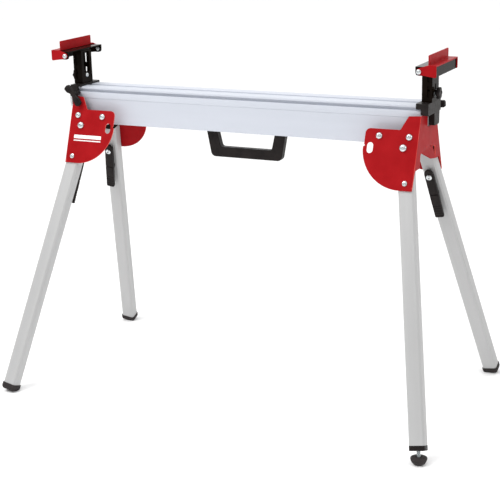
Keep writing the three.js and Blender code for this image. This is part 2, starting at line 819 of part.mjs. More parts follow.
function clampBolt() {
  const inboard = MAST.x0 + MAST.wall + POST.clear - GAP;
  const cap = turned(DOME(...CAPS.small), [inboard, 0, CLAMP.z], [-1, 0, 0]);
  const shank = rod(BOLT_R, [inboard - 1, 0, CLAMP.z], [KNOB.x0 + 5, 0, CLAMP.z]);
  const washer = rod(KNOB.collarR, [MAST.x1 + GAP, 0, CLAMP.z], [MAST.x1 + 2, 0, CLAMP.z]);
  return join(cap, shank, washer);
}

function clampKnob() {
  const shape = new THREE.Shape();
  const points = KNOB.lobes * 3;
  for (let i = 0; i < points; i++) {
    const angle = (2 * Math.PI * i) / points;
    const r = KNOB.r - KNOB.lobeDepth * (1 - Math.cos(KNOB.lobes * angle));
    shape[i ? "lineTo" : "moveTo"](r * Math.cos(angle), CLAMP.z + r * Math.sin(angle));
  }
  shape.closePath();
  const grip = alongX(shape, KNOB.x0 + 1.5, KNOB.x1);
  const collar = rod(KNOB.collarR, [KNOB.x0 - 0.5, 0, CLAMP.z], [KNOB.x0 + 2, 0, CLAMP.z]);
  const bore = rod(BOLT_R + RUNNING, [KNOB.x0 - 2, 0, CLAMP.z], [KNOB.x0 + 5.5, 0, CLAMP.z]);
  return cut(join(grip, collar), bore);
}

// One moulded paddle of the lock handle, pointing along +X from the hub.
function paddle(length, angle) {
  const blade = outline([
    [-4, -5],
    [8, -5],
    [16, -9, 5],
    [length, -9, 8],
    [length, 9, 8],
    [16, 9, 5],
    [8, 5],
    [-4, 5],
  ]);
  return moved(alongY(blade, ...LOCK_BAR.y), new THREE.Matrix4().makeRotationY(-angle));
}

// The handle that clamps the carriage to the rails: two paddles in a wide V on a spindle along Y.
// Tilt is the outboard paddle's angle above the horizontal.
function lockHandle(tilt) {
  const hubEnds = [CARRIAGE.halfY + GAP, LOCK_BAR.y[1] + 2];
  const handle = join(
    paddle(LOCK_BAR.short, tilt),
    paddle(LOCK_BAR.long, tilt + LOCK_BAR.spread),
    rod(LOCK_BAR.hubR, [0, hubEnds[0], 0], [0, hubEnds[1], 0]),
  );
  const place = new THREE.Matrix4().makeTranslation(LOCK_BAR.x, 0, LOCK_BAR.z);
  return moved(handle, place);
}

for (const end of ENDS) {
  const support = new THREE.Group();
  support.rotation.z = end.sign > 0 ? 0 : Math.PI;
  stand.add(support);
  const tilt = LOCK_BAR.tilt[end.name];
  add(support, `arm_${end.name}`, arm(), LEG_ALUMINIUM);
  add(support, `carriage_${end.name}`, carriage(), BLACK_PLASTIC);
  add(support, `mast_${end.name}`, mast(), BLACK_PAINT);
  add(support, `head_${end.name}`, headPost(-end.sign), BLACK_PAINT);
  add(support, `stop_${end.name}`, stop(), RED);
  add(support, `clamp_bolt_${end.name}`, clampBolt(), ZINC);
  add(support, `clamp_knob_${end.name}`, clampKnob(), BLACK_PLASTIC);
  add(support, `lock_handle_${end.name}`, lockHandle(tilt), BLACK_PLASTIC);
  for (const side of SIDES) {
    const bolt = add(support, `hinge_bolt_${side.name}_${end.name}`, hingeBolt(), ZINC);
    bolt.position.set(HINGE.x, 0, HINGE.z);
    bolt.rotation.z = side.sign * end.sign > 0 ? Math.PI : 0;
  }
}

export default stand;
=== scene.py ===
import math

import bmesh
import bpy
from mathutils import Matrix, Vector


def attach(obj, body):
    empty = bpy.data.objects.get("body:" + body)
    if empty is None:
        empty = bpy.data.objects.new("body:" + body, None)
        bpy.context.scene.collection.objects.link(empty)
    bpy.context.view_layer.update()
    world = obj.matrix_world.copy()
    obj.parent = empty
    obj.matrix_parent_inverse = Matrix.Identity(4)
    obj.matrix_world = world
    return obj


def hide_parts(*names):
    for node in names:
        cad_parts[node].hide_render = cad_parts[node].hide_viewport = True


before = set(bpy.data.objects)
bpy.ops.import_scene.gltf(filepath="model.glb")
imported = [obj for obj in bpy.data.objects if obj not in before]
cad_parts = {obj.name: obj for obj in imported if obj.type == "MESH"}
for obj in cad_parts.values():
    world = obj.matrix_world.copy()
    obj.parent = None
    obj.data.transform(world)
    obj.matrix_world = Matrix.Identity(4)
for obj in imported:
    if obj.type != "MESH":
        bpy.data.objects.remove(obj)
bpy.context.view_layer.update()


class Sizes:
    """A group of sizes, read by name."""

    def __init__(self, **sizes):
        for name, value in sizes.items():
            setattr(self, name, value)


# ---- driving dimensions in millimetres, the same as the CAD model's -----------------------------
UNIT = 0.001  # metres in a millimetre
MM = Matrix.Scale(UNIT, 4)
HERE = Matrix.Identity(4)
ENDS = {"right": 1, "left": -1}
SIDES = {"front": -1, "rear": 1}
SHEET = 3.0  # steel sheet of the leg brackets
GAP = 0.3  # between pieces that touch

PIVOT = Vector((472.0, 87.0, 725.0))  # a leg's pivot on the outer face of its bracket
LEAN = math.radians(20)  # fore and aft lean of the legs and bracket sides
SPLAY = math.radians(9.85)  # outward splay of an open leg
LEG = Sizes(depth=19.5, half_x=20.0, half_y=16.0, wall=2.0, above=13.0, reach=775.87)
CHEEK = LEG.depth + LEG.half_y + 0.5  # inner side of a leg, where the saddle's cheek begins
LOCK_REACH = 89.0  # the lock pin's distance from the pivot, along the leg

BEAM = Sizes(
    half=505.0,
    face_y=42.6,
    band_y=44.0,
    wall=3.1,
    web=2.5,
    bottom=724.0,
    band_z=795.0,
    groove_low=812.0,
    groove_high=820.0,
    groove_deep=8.0,
    top=826.0,
    middle_half=9.0,
    middle_deep=10.0,
)
LANE = Sizes(inner=1.25, outer=39.5, low=768.5, high=809.5)  # where a support arm slides

BRACKET = Sizes(
    end_face=508.3,
    inner_x=366.0,
    radius=106.0,
    drop={-1: 106.0, 1: 98.0},  # below the pivot at the end plate, on the front and rear sides
    ear_top=82.0,
    edge_top=45.0,
    rear_top=766.0,
    step_at={1: -8.0, -1: -46.0},  # where the right and left end plates step down
    arch_low=672.0,
    arch_top=708.0,
)
PLATE_BOLTS = {"inner": (-66.0, 27.0), "outer": (12.5, 28.0)}
PIN_RADIUS = {"plate": 4.0, "pivot": 5.0, "hinge": 3.5, "clamp": 4.0}
# Radius, height and socket radius of the domed heads.
CAPS = {
    "plate": (8.5, 6, 3.0),
    "pivot": (9.5, 6.5, 3.4),
    "small": (6.5, 4.5, 2.4),
    "screw": (8.2, 4.8, 2.8),
}

HANDLE = Sizes(
    top=723.7,
    top_half=118.0,
    low=648.0,
    low_half=104.0,
    half_y=10.0,
    hand_z=676.0,  # the opening for the hand, and its half widths above and below
    hand_top=87.0,
    hand_low=76.0,
)
PAD = Sizes(past=6.0, half_y=15.0, high=5.0)  # where the handle meets the beam
FOOT = Sizes(over=1.5, corner=5.0, dome=10.0, inset=8.0, clear=3.5, high=19.0, tube_up=16.0)
LEVEL = Sizes(tube_up=47.0, plug=12.5, stud_low=15.0, stud_high=69.0, pitch=1.5)

# Places along the leg from its pivot down, and half the lever's width.
LEVER = Sizes(
    top=-78.0,
    round_end=-92.0,
    screw=-98.0,
    step=(-151.5, -148.9),
    barrel=-150.0,
    ribs=(-179.0, -214.0),
    rib_count=5,
    tip=-217.0,
    half=12.5,
)
LEVER_INNER = [(LEVER.top, 22), (-135, 22.5), (-168, 27), (LEVER.tip, 31)]
LEVER_OUTER = [(LEVER.top, 30), (-100, 31), (-150, 35), (-195, 38.5), (LEVER.tip, 40.2)]

CLAMP = Sizes(z=852.0, head_x=500.7, washer_x=525.3)
KNOB = Sizes(x=527.5, radius=15.5, lobes=6, lobe_depth=1.5)
HINGE = Sizes(x=510.0, z=916.0, head_y=88.8, nut_y=81.7)
LOCK_BAR = Sizes(
    x=497.0,
    z=809.5,
    y0=73.5,
    y1=83.0,
    hub_y=50.3,
    rod_y=66.0,
    rod_radius=4.0,
    short=30.0,
    long=36.0,
    spread=math.radians(197),  # from the short paddle round to the long one
    tilt={"right": math.radians(5), "left": math.radians(43)},
)


# ---- frames -------------------------------------------------------------------------------------
def leaning(end, side):
    """The outer face of a bracket's side: X outboard, Y square into the bracket, Z up the side."""
    mirror = Matrix.Diagonal((end, -side, 1, 1))
    place = Matrix.Translation((PIVOT.x, -PIVOT.y, PIVOT.z))
    return mirror @ place @ Matrix.Rotation(-LEAN, 4, "X")


def leg_frame(end, side):
    """The middle of a leg's tube at its pivot: X across it, Y towards the inside, Z up the leg."""
    inset = Matrix.Translation((0, LEG.depth, 0))
    return leaning(end, side) @ inset @ Matrix.Rotation(-SPLAY, 4, "Y")


def support_frame(end):
    """A work support is drawn at the right end, and the left one is turned half a turn."""
    return Matrix.Rotation(0 if end > 0 else math.pi, 4, "Z")


# ---- outlines -----------------------------------------------------------------------------------
def fillet(before, corner, after, radius, steps):
    """Points of the arc that rounds a corner."""
    a = (before - corner).normalized()
    b = (after - corner).normalized()
    half = a.angle(b) / 2
    reach = radius / math.tan(half)
    centre = corner + (a + b).normalized() * (radius / math.sin(half))
    start = corner + a * reach - centre
    end = corner + b * reach - centre
    first = math.atan2(start.y, start.x)
    turn = (math.atan2(end.y, end.x) - first + math.pi) % (2 * math.pi) - math.pi
    points = []
    for i in range(steps + 1):
        angle = first + turn * i / steps
        points.append((centre.x + radius * math.cos(angle), centre.y + radius * math.sin(angle)))
    return points


def rounded(corners, steps=6):
    """A closed outline from corners (x, y, radius)."""
    points = []
    spots = [Vector(c[:2]) for c in corners]
    for i, corner in enumerate(corners):
        radius = corner[2] if len(corner) > 2 else 0
        if radius:
            after = spots[(i + 1) % len(spots)]
            points += fillet(spots[i - 1], spots[i], after, radius, steps)
        else:
            points.append((corner[0], corner[1]))
    return points


def box_outline(x0, y0, x1, y1, radius, steps=6):
    return rounded([(x0, y0, radius), (x1, y0, radius), (x1, y1, radius), (x0, y1, radius)], steps)


def circle(x, y, radius, sides):
    turns = [2 * math.pi * i / sides for i in range(sides)]
    return [(x + radius * math.cos(t), y + radius * math.sin(t)) for t in turns]


# ---- solids -------------------------------------------------------------------------------------
AXES = {
    "X": lambda u, v, w: Vector((w, u, v)),
    "Y": lambda u, v, w: Vector((u, w, v)),
    "Z": lambda u, v, w: Vector((u, v, w)),
}


def fill(bm, rings):
    """Faces of a flat outline, with holes after the first ring."""
    if len(rings) == 1:
        bm.faces.new(rings[0])
        return
    edges = []
    for ring in rings:
        for i in range(len(ring)):
            pair = (ring[i - 1], ring[i])
            edges.append(bm.edges.get(pair) or bm.edges.new(pair))
    bmesh.ops.triangle_fill(bm, use_beauty=True, use_dissolve=False, edges=edges)


def prism(bm, loops, axis, low, high):
    """A solid of one outline with holes, between two distances along an axis."""
    place = AXES[axis]
    ends = []
    for at in (low, high):
        rings = [[bm.verts.new(place(u, v, at)) for u, v in loop] for loop in loops]
        fill(bm, rings)
        ends.append(rings)
    for ring, other in zip(*ends):
        for i in range(len(ring)):
            bm.faces.new((ring[i - 1], ring[i], other[i], other[i - 1]))


def loft(bm, rings):
    """A solid through rings of equal count, closed at both ends."""
    made = [[bm.verts.new(point) for point in ring] for ring in rings]
    for ring, other in zip(made, made[1:]):
        for i in range(len(ring)):
            bm.faces.new((ring[i - 1], ring[i], other[i], other[i - 1]))
    bm.faces.new(reversed(made[0]))
    bm.faces.new(made[-1])


def hexed(angle):
    """How far a hexagon reaches at an angle, against its corner."""
    return math.cos(math.pi / 6) / math.cos(angle % (math.pi / 3) - math.pi / 6)


def turned(bm, profile, start, direction, sides=36):
    """A turned solid from steps (radius, distance), or (corner radius, distance, "hex")."""
    axis = Vector(direction).normalized()
    across = axis.orthogonal().normalized()
    other = axis.cross(across)
    rings = []
    for step in profile:
        ring = []
        for i in range(sides):
            angle = 2 * math.pi * i / sides
            reach = step[0] * (hexed(angle) if len(step) > 2 else 1)
            spoke = across * math.cos(angle) + other * math.sin(angle)
            ring.append(Vector(start) + axis * step[1] + spoke * reach)
        rings.append(ring)
    loft(bm, rings)


def dome(radius, high, socket):
    """The profile of a domed head with a hexagonal socket, from its flat underside out."""
    rim = high * 0.28
    steps = [(radius - 0.3, 0), (radius, 0.3), (radius, rim)]
    last = math.acos(min(1, socket * 1.25 / radius))
    for i in range(1, 8):
        angle = last * i / 7
        lift = (high - rim) * math.sin(angle) / math.sin(last)
        steps.append((radius * math.cos(angle), rim + lift))
    steps += [(socket * 1.12, high, "hex"), (socket, high - 0.3, "hex")]
    return steps + [(socket, high * 0.45, "hex")]


# ---- materials ----------------------------------------------------------------------------------
def linear(red, green, blue):
    """A display colour of 0 to 255 as the shader takes it."""
    return tuple((v / 255) ** 2.2 for v in (red, green, blue)) + (1.0,)


class Shader:
    """A principled material whose colour, roughness and relief come from noise."""

    def __init__(self, name, coordinates="Object"):
        self.material = bpy.data.materials.new(name)
        self.material.use_nodes = True
        self.tree = self.material.node_tree
        self.surface = self.tree.nodes["Principled BSDF"]
        if coordinates == "local":
            source = self.node("ShaderNodeAttribute", attribute_name="local")
            self.space = source.outputs["Vector"]
        else:
            self.space = self.node("ShaderNodeTexCoord").outputs["Object"]

    def node(self, kind, **settings):
        made = self.tree.nodes.new(kind)
        for key, value in settings.items():
            setattr(made, key, value)
        return made

    def link(self, output, socket):
        self.tree.links.new(output, socket)

    def set(self, **values):
        for key, value in values.items():
            self.surface.inputs[key.replace("_", " ")].default_value = value
        return self

    def noise(self, scale, detail=2.0):
        """Noise whose scale per metre is one number, or (x, y, z)."""
        scale = scale if isinstance(scale, tuple) else (scale,) * 3
        mapping = self.node("ShaderNodeMapping")
        mapping.inputs["Scale"].default_value = scale
        self.link(self.space, mapping.inputs["Vector"])
        made = self.node("ShaderNodeTexNoise")
        made.inputs["Scale"].default_value = 1.0
        made.inputs["Detail"].default_value = detail
        self.link(mapping.outputs["Vector"], made.inputs["Vector"])
        return made.outputs["Fac"]

    def spread(self, value, low, high, start=0.3, end=0.7):
        made = self.node("ShaderNodeMapRange")
        made.inputs["From Min"].default_value = start
        made.inputs["From Max"].default_value = end
        made.inputs["To Min"].default_value = low
        made.inputs["To Max"].default_value = high
        self.link(value, made.inputs["Value"])
        return made.outputs["Result"]

    def colour(self, value, dark, light, start=0.3, end=0.7):
        made = self.node("ShaderNodeValToRGB")
        made.color_ramp.elements[0].position = start
        made.color_ramp.elements[0].color = dark
        made.color_ramp.elements[1].position = end
        made.color_ramp.elements[1].color = light
        self.link(value, made.inputs["Fac"])
        self.link(made.outputs["Color"], self.surface.inputs["Base Color"])

    def roughness(self, value, low, high):
        self.link(self.spread(value, low, high), self.surface.inputs["Roughness"])

    def relief(self, value, strength, distance):
        made = self.node("ShaderNodeBump")
        made.inputs["Strength"].default_value = strength
        made.inputs["Distance"].default_value = distance
        self.link(value, made.inputs["Height"])
        self.link(made.outputs["Normal"], self.surface.inputs["Normal"])


def stretched(along, fine, coarse):
    """A noise scale that is coarse along one axis and fine across it."""
    return tuple(coarse if axis == along else fine for axis in "XYZ")


def brushed(name, dark, light, along, coordinates, rough):
    """Anodised extrusion: fine die lines run along one axis, over a soft change of tone."""
    made = Shader(name, coordinates).set(Metallic=0.1, Specular_IOR_Level=0.25)
    lines = made.noise(stretched(along, 900.0, 3.0), 3.0)
    made.colour(made.noise(stretched(along, 30.0, 2.0), 2.0), linear(*dark), linear(*light))
    made.roughness(lines, *rough)
    made.relief(lines, 0.06, 0.0002)
    return made.material


def powder_coat(name, dark, light, rough):
    """Powder coat: a fine orange peel, with a little change of tone and gloss."""
    made = Shader(name).set(Specular_IOR_Level=0.03)
    made.colour(made.noise(24.0, 4.0), linear(*dark), linear(*light))
    made.roughness(made.noise(60.0, 3.0), *rough)
    made.relief(made.noise(520.0, 1.0), 0.10, 0.0003)
    return made.material


def moulded(name, dark, light, rough, grain=1300.0):
    """Moulded plastic: spark-eroded grain and slightly uneven gloss."""
    made = Shader(name).set(Specular_IOR_Level=0.1)
    made.colour(made.noise(45.0, 4.0), linear(*dark), linear(*light))
    made.roughness(made.noise(90.0, 3.0), *rough)
    made.relief(made.noise(grain, 1.0), 0.22, 0.0003)
    return made.material


def plated(name, dark, light, rough):
    """Zinc plate: small cloudy grains with fine turning marks."""
    made = Shader(name).set(Metallic=1.0)
    made.colour(made.noise(260.0, 3.0), linear(*dark), linear(*light))
    made.roughness(made.noise(700.0, 2.0), *rough)
    made.relief(made.noise(1600.0, 1.0), 0.06, 0.0001)
    return made.material


PALE = ((193, 197, 206), (197, 201, 210))
GREY = ((172, 172, 172), (181, 181, 181))
BEAM_METAL = brushed("beam_aluminium", *PALE, "X", "Object", (0.52, 0.6))
LEG_METAL = brushed("leg_aluminium", *GREY, "Z", "local", (0.5, 0.58))
ARM_METAL = brushed("arm_aluminium", *GREY, "X", "Object", (0.5, 0.58))
RED = powder_coat("red_powder_coat", (146, 25, 29), (158, 30, 34), (0.3, 0.4))
# A lighter red for the cut edges and fold bends: mostly a painted highlight, partly a thinner coat
# on the cut edges.
RED_EDGE_HIGHLIGHT = powder_coat("red_edge_painted_highlight", (204, 66, 60), (222, 96, 88), (0.35, 0.5))
BLACK = powder_coat("black_powder_coat", (20, 16, 13), (30, 24, 20), (0.12, 0.2))
PLASTIC = moulded("black_plastic", (32, 29, 29), (43, 39, 38), (0.34, 0.48))
RUBBER = moulded("foot_rubber", (48, 45, 45), (60, 56, 56), (0.5, 0.7), 900.0)
ZINC = plated("zinc_plate", (188, 193, 195), (222, 226, 227), (0.16, 0.3))
WHITE_INK = moulded("white_ink", (228, 228, 226), (240, 240, 238), (0.45, 0.6))


# ---- pieces -------------------------------------------------------------------------------------
def tag_local(bm):
    """Keeps each point's place before the piece is placed, in metres, for the brushed lines."""
    layer = bm.verts.layers.float_vector.new("local")
    for vert in bm.verts:
        vert[layer] = vert.co * UNIT


def soften(obj, width, segments=2, angle=30):
    """Rounds the sharp edges, in millimetres."""
    bevel = obj.modifiers.new("rounding", "BEVEL")
    bevel.width = width * UNIT
    bevel.segments = segments
    bevel.limit_method = "ANGLE"
    bevel.angle_limit = math.radians(angle)
    bevel.harden_normals = True
    bevel.miter_outer = "MITER_ARC"


def shade(obj, angle):
    """Shades smooth, with sharp edges past an angle in degrees."""
    for polygon in obj.data.polygons:
        polygon.use_smooth = True
    obj.data.set_sharp_from_angle(angle=math.radians(angle))


def placed(name, bm, place, materials, body, smooth):
    """Turns a mesh drawn in millimetres into a piece that rides on a body."""
    tag_local(bm)
    whole = MM @ place
    bm.transform(whole)
    if whole.determinant() < 0:
        bmesh.ops.reverse_faces(bm, faces=bm.faces)
    mesh = bpy.data.meshes.new(name)
    bm.to_mesh(mesh)
    bm.free()
    for material in materials:
        mesh.materials.append(material)
    obj = bpy.data.objects.new(name, mesh)
    bpy.context.scene.collection.objects.link(obj)
    shade(obj, smooth)
    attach(obj, body)
    return obj


def make(name, bm, place, materials, body, nodes=(), smooth=32):
    """Makes a closed solid into a piece that stands for CAD nodes."""
    bmesh.ops.recalc_face_normals(bm, faces=bm.faces)
    obj = placed(name, bm, place, materials, body, smooth)
    if nodes:
        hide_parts(*nodes)
    return obj


def from_cad(node, name, materials, body):
    """A copy of a CAD node with its flat faces whole again, ready for rounding."""
    bm = bmesh.new()
    bm.from_mesh(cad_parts[node].data)
    bmesh.ops.remove_doubles(bm, verts=bm.verts, dist=1e-6)
    bmesh.ops.dissolve_limit(bm, angle_limit=math.radians(0.6), verts=bm.verts, edges=bm.edges)
    bm.transform(MM.inverted())
    return make(name, bm, HERE, materials, body, [node])


def paint(node, material):
    """Gives a CAD node that stays in view its material."""
    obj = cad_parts[node]
    obj.data.materials.clear()
    obj.data.materials.append(material)


# ---- beam ---------------------------------------------------------------------------------------
def beam():
    groove_y = BEAM.band_y - BEAM.groove_deep
    half_section = [
        (BEAM.face_y, BEAM.bottom, 2.0),
        (BEAM.face_y, BEAM.band_z, 0.8),
        (BEAM.band_y, BEAM.band_z, 0.5),
        (BEAM.band_y, BEAM.groove_low, 0.8),
        (groove_y, BEAM.groove_low, 0.6),
        (groove_y, BEAM.groove_high, 0.6),
        (BEAM.band_y, BEAM.groove_high, 0.8),
        (BEAM.band_y, BEAM.top, 1.6),
        (BEAM.middle_half, BEAM.top, 1.2),
        (BEAM.middle_half, BEAM.top - BEAM.middle_deep, 0.8),
    ]
    mirrored = [(-y, z, r) for y, z, r in reversed(half_section)]
    loops = [rounded(half_section + mirrored, 4)]
    floor_z = BEAM.bottom + BEAM.wall
    loops.append(box_outline(-LANE.outer, floor_z, LANE.outer, LANE.low - BEAM.web, 1.5, 3))
    for side in (-1, 1):
        lane = sorted((LANE.inner * side, LANE.outer * side))
        rail = sorted(((BEAM.middle_half + BEAM.web) * side, (groove_y - BEAM.web) * side))
        rail_low = LANE.high + BEAM.web
        rail_high = BEAM.top - BEAM.web
        loops.append(box_outline(lane[0], LANE.low, lane[1], LANE.high, 0.8, 3))
        loops.append(box_outline(rail[0], rail_low, rail[1], rail_high, 0.8, 3))
    bm = bmesh.new()
    prism(bm, loops, "X", -BEAM.half, BEAM.half)
    obj = make("beam_body", bm, HERE, [BEAM_METAL], "frame", ["beam"])
    soften(obj, 0.3, 1, 60)


# ---- leg brackets -------------------------------------------------------------------------------
def bracket_side_outline(ear_top, drop):
    """A bracket's leaning side, drawn flat from its pivot, with a small notch at its inner edge."""
    end_x = BRACKET.end_face - PIVOT.x
    inner = BRACKET.inner_x - PIVOT.x
    top = [(end_x, ear_top)]
    if ear_top > BRACKET.edge_top:
        top += [(4.5, ear_top - 2, 3.5), (-13, BRACKET.edge_top, 3.5)]
    corner = (inner + 2.5, min(ear_top, BRACKET.edge_top), 13)
    upper = rounded(top + [corner, (inner + 2.5, 4)], 6)
    notch = [(inner + 5.5, 1), (inner + 0.5, -2)]
    curve = []
    steps = 32
    for i in range(2, steps + 1):
        angle = math.pi * (1 + 0.5 * i / steps)
        curve.append((BRACKET.radius * math.cos(angle), BRACKET.radius * math.sin(angle)))
    return upper + notch + curve + [(end_x, -drop)]


def side_y(z):
    """How far out the bracket's side is at a height."""
    return PIVOT.y + (PIVOT.z - z) * math.tan(LEAN)


def end_plate_outline(step):
    """The end plate, open below as an arch for the legs, and cut low under the support arm."""
    ear_z = PIVOT.z + BRACKET.ear_top * math.cos(LEAN)
    rear_z = BRACKET.rear_top

    def leg_side(sign):
        bottom = PIVOT.z - BRACKET.drop[sign] * math.cos(LEAN)
        return [
            (sign * side_y(bottom), bottom),
            (sign * (side_y(bottom) - 4.2), bottom + 9, 2),
            (sign * 100, BRACKET.arch_low, 12),
            (sign * 64, BRACKET.arch_low, 3),
            (sign * 60, BRACKET.arch_top, 8),
        ]

    front = [(-side_y(ear_z), ear_z)] + leg_side(-1)
    rear = leg_side(1)[::-1] + [(side_y(rear_z), rear_z)]
    return rounded(front + rear + [(step, rear_z, 2), (step, ear_z - 3, 3)], 5)


def add_sheet(bm, loops, place, outward):
    """Adds a flat outline with holes, facing outward."""
    rings = [[bm.verts.new(place @ point) for point in loop] for loop in loops]
    before = set(bm.faces)
    fill(bm, rings)
    for face in bm.faces:
        if face not in before:
            face.normal_update()
            if face.normal.dot(outward) < 0:
                face.normal_flip()


def round_folds(bm, folds):
    """Rounds the two folds between the end plate and the sides, and gives the bends the lighter red
    of a painted highlight.
    """
    bmesh.ops.bevel(
        bm,
        geom=folds,
        offset=4.0,
        offset_type="OFFSET",
        segments=5,
        profile=0.5,
        affect="EDGES",
        loop_slide=False,
        clamp_overlap=True,
        # the bends take material 1, the lighter red of the painted highlight
        material=1,
    )


def bracket(name, end):
    """One folded sheet: two leaning sides and an end plate, thickened inwards."""
    bm = bmesh.new()
    storage_slot = box_outline(-96, -18, -79, 10, 8.4, 8)
    rear_ear = (BRACKET.rear_top - PIVOT.z) / math.cos(LEAN)
    for side, ear in ((-1, BRACKET.ear_top), (1, rear_ear)):
        place = leaning(1, side)
        loops = [bracket_side_outline(ear, BRACKET.drop[side]), storage_slot]
        flat = [[Vector((x, 0, s)) for x, s in loop] for loop in loops]
        add_sheet(bm, flat, place, place.to_3x3() @ Vector((0, -1, 0)))
    dimple = circle(-10, 716, 2, 16)
    oval = box_outline(18, 708.5, 30, 714.5, 2.8, 5)
    plate = [end_plate_outline(BRACKET.step_at[end]), dimple, oval]
    flat = [[Vector((BRACKET.end_face, y, z)) for y, z in loop] for loop in plate]
    add_sheet(bm, flat, HERE, Vector((1, 0, 0)))
    bmesh.ops.remove_doubles(bm, verts=bm.verts, dist=0.02)
    folds = [
        edge
        for edge in bm.edges
        if len(edge.link_faces) == 2 and edge.calc_face_angle(0) > math.radians(60)
    ]
    round_folds(bm, folds)
    mirror = Matrix.Diagonal((end, 1, 1, 1))
    obj = placed(name, bm, mirror, [RED, RED_EDGE_HIGHLIGHT], "frame", 40)
    thicken = obj.modifiers.new("sheet", "SOLIDIFY")
    thicken.thickness = SHEET * UNIT
    thicken.offset = -1
    thicken.use_quality_normals = True
    # the cut rims take the lighter red: a painted highlight, partly a thinner coat on the cut edge
    thicken.material_offset_rim = 1
    soften(obj, 0.5, 2, 50)
    return obj


def arch_tab(name, end):
    """The triangular tab that is bent out from the top of the arch."""
    outline = rounded([(-58, 2), (2, -26, 18), (38, -32, 7), (36, 2)], 8)
    bm = bmesh.new()
    prism(bm, [outline], "X", 0, SHEET)
    at = Matrix.Translation((BRACKET.end_face - SHEET, 0, BRACKET.arch_top))
    bend = Matrix.Rotation(math.radians(-18), 4, "Y")
    mirror = Matrix.Diagonal((end, 1, 1, 1))
    obj = make(name, bm, mirror @ at @ bend, [RED], "frame")
    soften(obj, 0.6, 2)


def plate_bars():
    """Two plain white bars printed on the front left side plate."""
    x0, x1 = -70, 18
    for i, (low, high) in enumerate(((-37, -27), (-44, -41))):
        bm = bmesh.new()
        prism(bm, [box_outline(x0, low, x1, high, 1.2, 4)], "Y", -0.12, 0.05)
        make(f"plate_bar_{i}", bm, leaning(-1, -1), [WHITE_INK], "frame")


def brackets():
    for end_name, end in ENDS.items():
        obj = bracket(f"bracket_sheet_{end_name}", end)
        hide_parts(f"bracket_{end_name}")
        arch_tab(f"bracket_tab_{end_name}", end)


# ---- bolts --------------------------------------------------------------------------------------
def hex_nut(bm, start, direction, radius, high):
    steps = [
        (radius * 0.9, 0, "hex"),
        (radius, 0.6, "hex"),
        (radius, high - 0.8, "hex"),
        (radius * 0.88, high, "hex"),
    ]
    turned(bm, steps, start, direction)


OUT = (0, -1, 0)  # away from the bracket, in its leaning frame


def plate_bolts(corner, place):
    """The two bolts through a bracket's side, with spacers behind the sheet."""
    pin = PIN_RADIUS["plate"]
    spacer = 6
    near = -SHEET - GAP
    far = -34.8
    shank = [(pin, -44), (pin, far), (spacer, far), (spacer, near), (pin, near), (pin, 0)]
    for which, (x, s) in PLATE_BOLTS.items():
        bm = bmesh.new()
        turned(bm, shank + dome(*CAPS["plate"]), (x, -GAP, s), OUT)
        node = f"plate_bolt_{which}_{corner}"
        make(f"{node}_body", bm, place, [ZINC], "frame", [node])


def pivot_bolt(corner, place):
    pin = PIN_RADIUS["pivot"]
    inside = CHEEK + SHEET
    bm = bmesh.new()
    turned(bm, [(pin, -inside - 7), (pin, 0)] + dome(*CAPS["pivot"]), (0, -GAP, 0), OUT)
    hex_nut(bm, (0, inside + GAP, 0), (0, 1, 0), 8.5, 6.2)
    node = f"pivot_bolt_{corner}"
    make(f"{node}_body", bm, place, [ZINC], "frame", [node])


def lock_bush(corner, place):
    """The flanged bush in the lock hole, with a shallow dimple."""
    bush_x = LOCK_REACH * math.sin(SPLAY)
    bush_s = -LOCK_REACH * math.cos(SPLAY)
    flange = [(5.4, -3.2), (5.4, 0), (6.8, 0), (7, 0.3), (7, 1.0), (6.4, 2.1), (5.0, 2.8)]
    dimple = [(3.6, 3.0), (3.3, 2.2), (3.0, 2.0)]
    bm = bmesh.new()
    turned(bm, flange + dimple, (bush_x, -GAP, bush_s), OUT)
    node = f"lock_bush_{corner}"
    make(f"{node}_body", bm, place, [ZINC], "frame", [node])


# ---- legs ---------------------------------------------------------------------------------------
def chamfered_box(half_x, half_y, chamfer, radius):
    """A rectangle with flat corners, each end of them slightly rounded."""
    near_x = half_x - chamfer
    near_y = half_y - chamfer
    spots = [(half_x, -near_y), (half_x, near_y), (near_x, half_y), (-near_x, half_y)]
    spots += [(-half_x, near_y), (-half_x, -near_y), (-near_x, -half_y), (near_x, -half_y)]
    return rounded([(x, y, radius) for x, y in spots], 3)


def leg_tube(corner, place, body, low):
    outer = chamfered_box(LEG.half_x, LEG.half_y, 4.5, 0.9)
    x = LEG.half_x - LEG.wall
    y = LEG.half_y - LEG.wall
    inner = box_outline(-x, -y, x, y, 2.5, 4)
    bm = bmesh.new()
    prism(bm, [outer, inner], "Z", low, LEG.above)
    node = f"leg_tube_{corner}"
    obj = make(f"{node}_body", bm, place, [LEG_METAL], body, [node])
    soften(obj, 0.3, 1, 60)


def leg_ring(margin, corner, z):
    """The outline of a leg tube, grown by a margin, at a height along the leg."""
    x = LEG.half_x + margin
    y = LEG.half_y + margin
    return [Vector((u, v, z)) for u, v in box_outline(-x, -y, x, y, corner)]


def stand_flat(bm):
    """Cuts a mesh in world millimetres off just above the floor."""
    parts = bm.verts[:] + bm.edges[:] + bm.faces[:]
    level = (0, 0, 0.02)
    down = (0, 0, -1)
    rest = bmesh.ops.bisect_plane(bm, geom=parts, plane_co=level, plane_no=down, clear_outer=True)
    edges = [item for item in rest["geom_cut"] if isinstance(item, bmesh.types.BMEdge)]
    if edges:
        bmesh.ops.contextual_create(bm, geom=edges)


